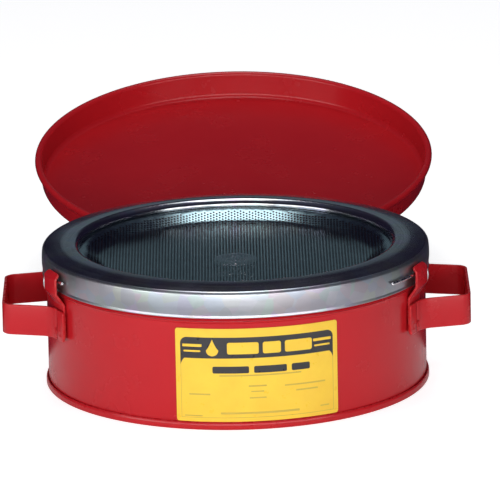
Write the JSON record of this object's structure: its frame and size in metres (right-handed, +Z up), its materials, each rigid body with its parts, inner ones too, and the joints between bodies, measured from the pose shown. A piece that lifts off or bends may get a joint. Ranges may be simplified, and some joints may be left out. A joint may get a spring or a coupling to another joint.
{
  "type": "safety bench can",
  "caption": "Round steel bench can for dipping small parts in solvent, with a hinged lid, clamp ring, sprung perforated pan and two strap handles.",
  "frame": {"origin": "centre of the bottom panel's underside, on the can's axis", "axes": "+Z up along the can's axis, -Y to the front with the label, +Y to the hinge and the open lid, +X to the right-hand handle"},
  "size_m": [0.286, 0.5042, 0.1013],
  "materials": {
    "red_paint": "glossy baked enamel, bright red, with light handling wear on edges",
    "galvanised_steel": "bright galvanised sheet, softly drawn, satin",
    "screen_steel": "perforated zinc-plated sheet with a blue-green cast",
    "spring_wire": "plain bright drawn wire",
    "label_film": "glossy yellow film with a black band"
  },
  "bodies": {
    "can": {"can_body": "red_paint", "bottom_panel": "red_paint", "screen_ring": "galvanised_steel", "lower_spring_seat": "galvanised_steel", "guide_tube": "galvanised_steel", "return_spring": "spring_wire", "right_handle": "red_paint", "right_bracket": "red_paint", "left_handle": "red_paint", "left_bracket": "red_paint", "label": "label_film", "body_hinge_leaf": "red_paint", "hinge_pin": "spring_wire"},
    "pan": {"perforated_pan": "screen_steel", "upper_spring_seat": "galvanised_steel", "guide_stem": "galvanised_steel"},
    "lid": {"lid": "red_paint", "lid_hinge_leaf": "red_paint"},
    "right_pin": {"right_retaining_pin": "spring_wire"},
    "left_pin": {"left_retaining_pin": "spring_wire"}
  },
  "joints": [
    {"name": "lid_hinge", "type": "hinge", "parent": "can", "child": "lid", "pos_m": [0, 0.1293, 0.0578], "axis": [1, 0, 0], "range_deg": [0, 169]},
    {"name": "pan_press", "type": "slide", "parent": "can", "child": "pan", "axis": [0, 0, -1], "range_m": [0, 0.026], "stiffness_N_per_m": 400, "springref_m": -0.015, "deforming": ["return_spring"]},
    {"name": "right_pin_withdraw", "type": "hinge", "parent": "can", "child": "right_pin", "pos_m": [0, 0, 0.0733], "axis": [0, 0, 1], "range_deg": [0, 20]},
    {"name": "left_pin_withdraw", "type": "hinge", "parent": "can", "child": "left_pin", "pos_m": [0, 0, 0.0733], "axis": [0, 0, -1], "range_deg": [0, 11]}
  ]
}
